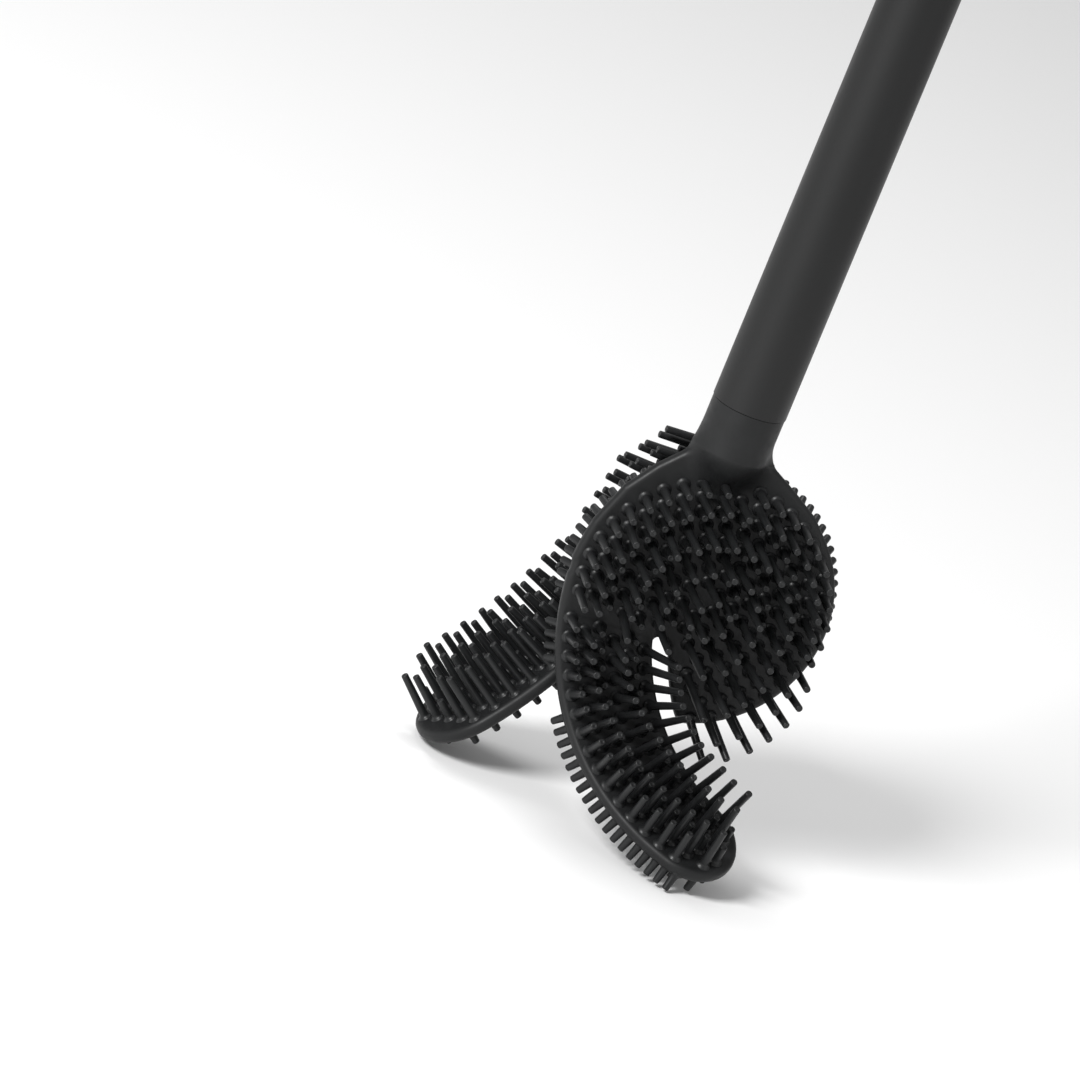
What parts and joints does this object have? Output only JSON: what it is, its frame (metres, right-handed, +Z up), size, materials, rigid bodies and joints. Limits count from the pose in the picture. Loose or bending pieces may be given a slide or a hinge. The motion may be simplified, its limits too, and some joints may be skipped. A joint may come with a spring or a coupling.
{
  "type": "toilet brush",
  "caption": "Toilet brush with a plain round screw-on handle and a soft rubber head: a bristled round paddle with a curled sickle arm in front and a bristled strap blade behind.",
  "frame": {"origin": "on the handle's axis, in the plane where the handle meets the head", "axes": "+Z up the handle's axis away from the head; the front blade faces -Y and the rear blade faces -X"},
  "size_m": [0.096, 0.0841, 0.3959],
  "materials": {
    "handle_black": "satin",
    "inner_plastic": "matte",
    "seal_rubber": "matte",
    "head_rubber": "matte",
    "bristle_rubber": "matte"
  },
  "bodies": {
    "handle": {"handle_tube": "handle_black", "end_cap": "handle_black", "socket_insert": "inner_plastic"},
    "seal_ring": {"neck_seal": "seal_rubber"},
    "head": {"head_core": "inner_plastic", "head_skin": "head_rubber", "paddle_back_bristles": "bristle_rubber", "paddle_edge_bristles": "bristle_rubber", "paddle_long_bristles": "bristle_rubber", "paddle_middle_bristles": "bristle_rubber", "paddle_short_bristles": "bristle_rubber", "rear_root_middle_bristles": "bristle_rubber", "rear_root_short_bristles": "bristle_rubber", "rear_root_under_bristles": "bristle_rubber"},
    "front_arm": {"front_arm_back_bristles": "bristle_rubber", "front_arm_edge_bristles": "bristle_rubber", "front_arm_long_bristles": "bristle_rubber", "front_arm_middle_bristles": "bristle_rubber", "front_arm_short_bristles": "bristle_rubber", "front_arm_skin": "head_rubber"},
    "rear_arm": {"rear_arm_middle_bristles": "bristle_rubber", "rear_arm_short_bristles": "bristle_rubber", "rear_arm_skin": "head_rubber", "rear_arm_under_bristles": "bristle_rubber"}
  },
  "joints": [
    {"name": "head_travel", "type": "slide", "parent": "handle", "child": "seal_ring", "axis": [0, 0, -1], "range_m": [0, 0.0091]},
    {"name": "head_unscrew", "type": "hinge", "parent": "seal_ring", "child": "head", "pos_m": [0, 0, 0], "axis": [0, 0, -1], "range_deg": [0, 1080]},
    {"name": "front_arm_flex", "type": "hinge", "parent": "head", "child": "front_arm", "pos_m": [-0.014, 0, -0.066], "axis": [1, 0, 0], "range_deg": [-4, 8], "stiffness_Nm_per_rad": 0.6},
    {"name": "rear_arm_flex", "type": "hinge", "parent": "head", "child": "rear_arm", "pos_m": [-0.0058, 0.0255, -0.0594], "axis": [0, 1, 0], "range_deg": [-6, 6], "stiffness_Nm_per_rad": 0.6}
  ],
  "couplings": [
    {"joint": "head_travel", "follows": "head_unscrew", "m_per_rad": 0.00047746}
  ]
}
